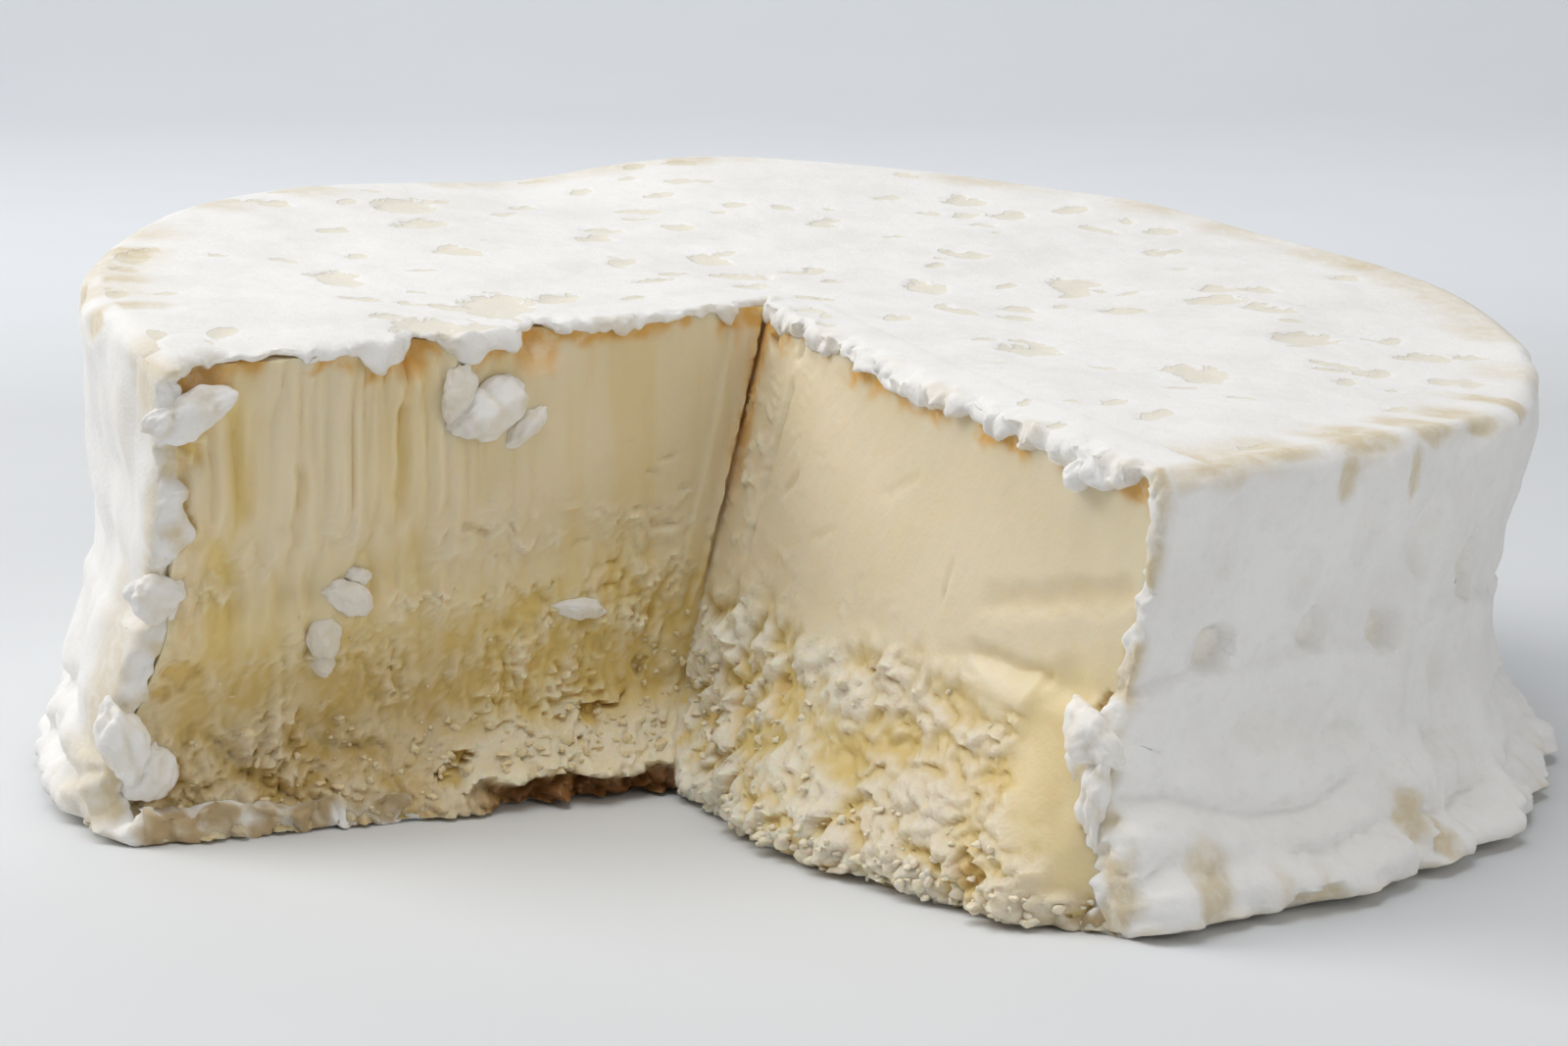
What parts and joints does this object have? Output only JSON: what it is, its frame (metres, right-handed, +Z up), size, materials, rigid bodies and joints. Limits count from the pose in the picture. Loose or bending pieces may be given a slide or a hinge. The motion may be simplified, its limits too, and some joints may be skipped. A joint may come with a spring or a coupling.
{
  "type": "triple-cream cheese round",
  "caption": "Soft-ripened triple-cream cheese round with a bloomy white rind and a wedge cut out, standing on its flat base.",
  "frame": {"origin": "centre of the round on its flat base", "axes": "+Z up, -Y towards the side that the missing wedge opens to, +X to the right when seen from there"},
  "size_m": [0.1275, 0.1217, 0.0453],
  "materials": {
    "bloomy_rind": "dry, matte, soft white mould rind over pale yellow paste"
  },
  "bodies": {
    "root": {"cheese_round": "bloomy_rind"}
  },
  "joints": []
}
